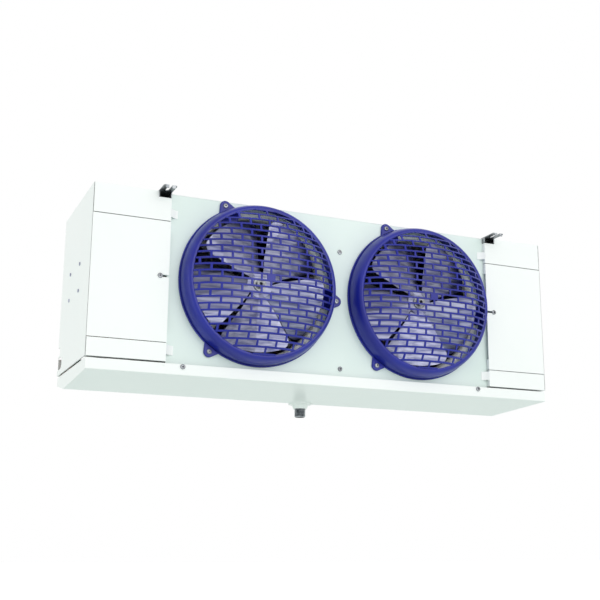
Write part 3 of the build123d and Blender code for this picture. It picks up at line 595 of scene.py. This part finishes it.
# Drawn copper tube: a warm metal, browned in patches by the air.
def drawn_copper():
    material, tree, shader, place = new_material("drawn_copper", {"Metallic": 1.0})
    patch = noise(tree, place, 28.0, 4.0)
    tree.links.new(two_tones(tree, patch, COPPER_DARK, COPPER_LIGHT), shader.inputs["Base Color"])
    tree.links.new(spread(tree, patch, 0.28, 0.42), shader.inputs["Roughness"])
    return material


fins = fin_stock()
copper = drawn_copper()
low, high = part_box("coil_core")
count = int((high.x - low.x - 2 * FIN) / FIN_PITCH)
mesh = bmesh.new()
for index in range(count + 1):
    x = (low.x + high.x) / 2 + (index - count / 2) * FIN_PITCH
    size = Matrix.Diagonal((FIN, high.y - low.y, high.z - low.z, 1))
    place = Matrix.Translation((x, (low.y + high.y) / 2, (low.z + high.z) / 2))
    bmesh.ops.create_cube(mesh, size=1, matrix=place @ size)
piece = to_object("coil_fins", mesh, fins)
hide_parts("coil_core")
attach(piece, "root")

mesh = bmesh.new()
lay_along = Matrix.Rotation(math.radians(90), 4, "Y")
rows = int((high.y - low.y) / TUBE_PITCH)
levels = int((high.z - low.z) / TUBE_PITCH)
for row in range(rows):
    for level in range(levels):
        y = low.y + (row + 0.5) * TUBE_PITCH
        z = low.z + (level + 0.5 + 0.5 * (row % 2)) * TUBE_PITCH
        place = Matrix.Translation(((low.x + high.x) / 2, y, z))
        bmesh.ops.create_cone(
            mesh, cap_ends=True, segments=16, radius1=TUBE_RADIUS, radius2=TUBE_RADIUS, depth=high.x - low.x,
            matrix=place @ lay_along
        )
piece = to_object("coil_tubes", mesh, copper)
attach(piece, "root")
paint(("return_bends_left", "return_bends_right", "suction_header", "distributor"), copper)


# Wiring ---------------------------------------------------------------------------------------
# A row of terminals in the right end's tray.
TERMINAL_LIGHT = "#E4DFCF"
TERMINAL_DARK = "#D8D3C2"


# Thermoset plastic: pale, hard and nearly matt, as it comes from the mould.
def terminal_plastic():
    material, tree, shader, place = new_material("pale_thermoset", {"IOR": 1.5})
    clouds = noise(tree, place, 20.0)
    tree.links.new(two_tones(tree, clouds, TERMINAL_DARK, TERMINAL_LIGHT), shader.inputs["Base Color"])
    tree.links.new(spread(tree, noise(tree, place, 8.0), 0.45, 0.6), shader.inputs["Roughness"])
    return material


paint(("terminal_block",), terminal_plastic())


# Studio ---------------------------------------------------------------------------------------
# A pale floor well below the hung cooler, an even white surround and soft lamps.
FLOOR_DROP = 1.5
FLOOR_SIZE = 30.0
FLOOR_WHITE = "#CCD9D4"
FLOOR_GLOW = 0.5             # lifts the floor to white where it is seen, under its shadow
SURROUND = 0.84              # brightness of the surround on diffuse surfaces
CAMERA_LENS = 60.26
CAMERA_SENSOR = 36
CAMERA_PLACE = (-0.9595, -2.1406, -0.7255)
CAMERA_FORWARD = (0.38760, 0.89226, 0.23159)
CAMERA_UP = (-0.09828, -0.20980, 0.97279)
scene = bpy.context.scene
scene.view_settings.view_transform = "Standard"


def seen_directly(tree):
    """One where a camera or mirror ray looks, nought where light only bounces."""
    path = add(tree, "ShaderNodeLightPath").outputs
    settings = {"operation": "MAXIMUM"}
    seen = add(tree, "ShaderNodeMath", settings, {0: path["Is Camera Ray"], 1: path["Is Glossy Ray"]})
    return seen.outputs[0]


world = bpy.data.worlds.new("white_studio")
world.use_nodes = True
scene.world = world
tree = world.node_tree
strength = spread(tree, seen_directly(tree), SURROUND, 1.0)
tree.links.new(strength, tree.nodes["Background"].inputs["Strength"])
tree.nodes["Background"].inputs["Color"].default_value = (1, 1, 1, 1)

mesh = bmesh.new()
below = Matrix.Translation((0, 0, -FLOOR_DROP))
bmesh.ops.create_grid(mesh, x_segments=1, y_segments=1, size=FLOOR_SIZE, matrix=below)
floor_paint, tree, shader, place = new_material("pale_floor", {"Roughness": 0.8})
shader.inputs["Base Color"].default_value = linear(FLOOR_WHITE)
shader.inputs["Emission Color"].default_value = (1, 1, 1, 1)
tree.links.new(spread(tree, seen_directly(tree), 0.0, FLOOR_GLOW), shader.inputs["Emission Strength"])
floor = to_object("floor", mesh, floor_paint)


def soft_lamp(name, place, aim, size, power, colour=(1, 1, 1)):
    """A square soft box aimed at a point."""
    lamp = bpy.data.lights.new(name, "AREA")
    lamp.size = size
    lamp.energy = power
    lamp.color = colour
    holder = bpy.data.objects.new(name, lamp)
    scene.collection.objects.link(holder)
    holder.location = place
    holder.rotation_euler = (Vector(aim) - Vector(place)).to_track_quat("-Z", "Y").to_euler()


soft_lamp("front_softbox", (0.8, -3.6, 0.6), (0, 0, -0.2), 2.6, 40)
soft_lamp("side_fill", (-3.6, 0.2, -0.2), (0, 0, -0.2), 2.0, 14, (0.84, 1.0, 0.94))

camera = bpy.data.cameras.new("camera")
camera.lens = CAMERA_LENS
camera.sensor_width = CAMERA_SENSOR
holder = bpy.data.objects.new("camera", camera)
scene.collection.objects.link(holder)
forward = Vector(CAMERA_FORWARD).normalized()
up = Vector(CAMERA_UP).normalized()
right = forward.cross(up).normalized()
turn = Matrix((right, right.cross(forward), -forward)).transposed()
holder.matrix_world = Matrix.Translation(CAMERA_PLACE) @ turn.to_4x4()
scene.camera = holder
